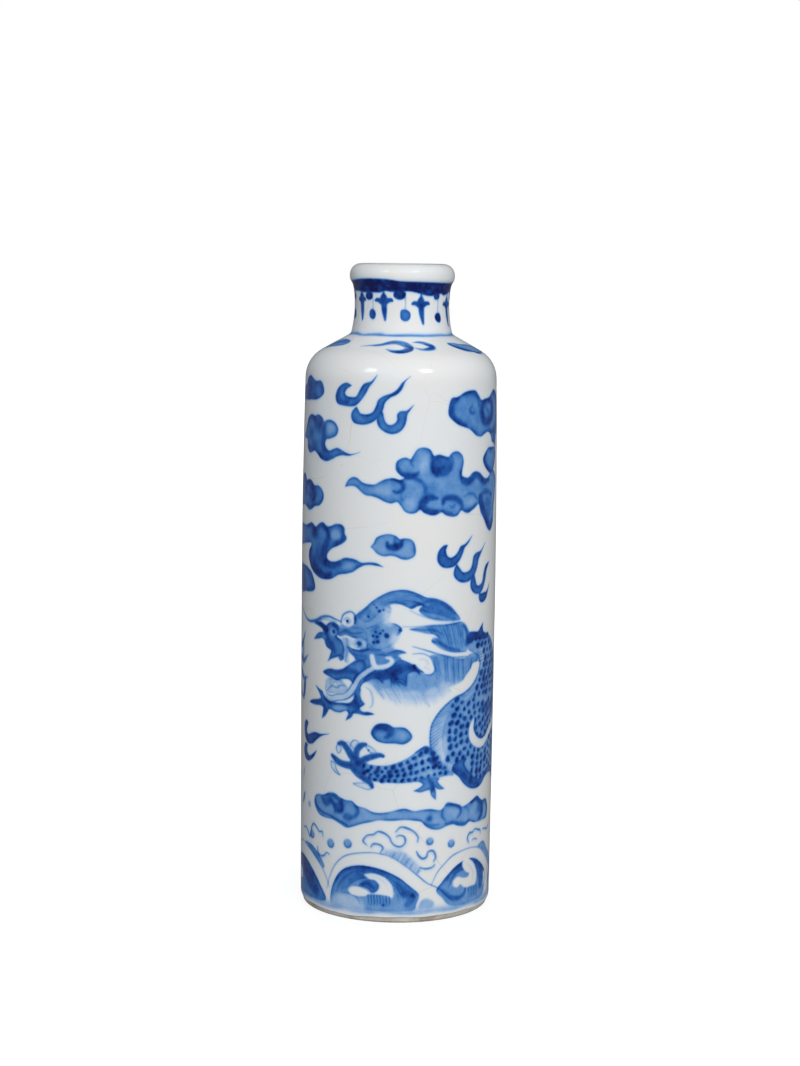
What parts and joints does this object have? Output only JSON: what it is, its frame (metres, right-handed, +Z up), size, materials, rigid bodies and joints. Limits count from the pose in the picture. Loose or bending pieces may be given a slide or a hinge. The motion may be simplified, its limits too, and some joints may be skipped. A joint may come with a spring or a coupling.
{
  "type": "snuff bottle",
  "caption": "Slim cylindrical porcelain snuff bottle with a short neck, rolled lip, hollow chamber, turned bare foot ring and recessed glazed base, underglaze painted in blue.",
  "frame": {"origin": "middle of the foot's resting plane", "axes": "+Z up along the bottle's axis; -Y is the side the picture shows, with the dragon's head"},
  "size_m": [0.0242, 0.0242, 0.08],
  "materials": {
    "porcelain_body": "fired white porcelain, bare inside the chamber",
    "bare_porcelain": "unglazed, turned and sanded, beige where it was fired bare",
    "base_glaze": "glossy clear glaze, faintly blue",
    "painted_glaze": "glossy clear glaze over cobalt blue painting on white"
  },
  "bodies": {
    "root": {"body_wall": "porcelain_body", "base_disc": "porcelain_body", "foot_ring": "bare_porcelain", "base_glaze": "base_glaze", "neck_collar": "porcelain_body", "mouth_lip": "porcelain_body", "glaze_coat": "painted_glaze"}
  },
  "joints": []
}
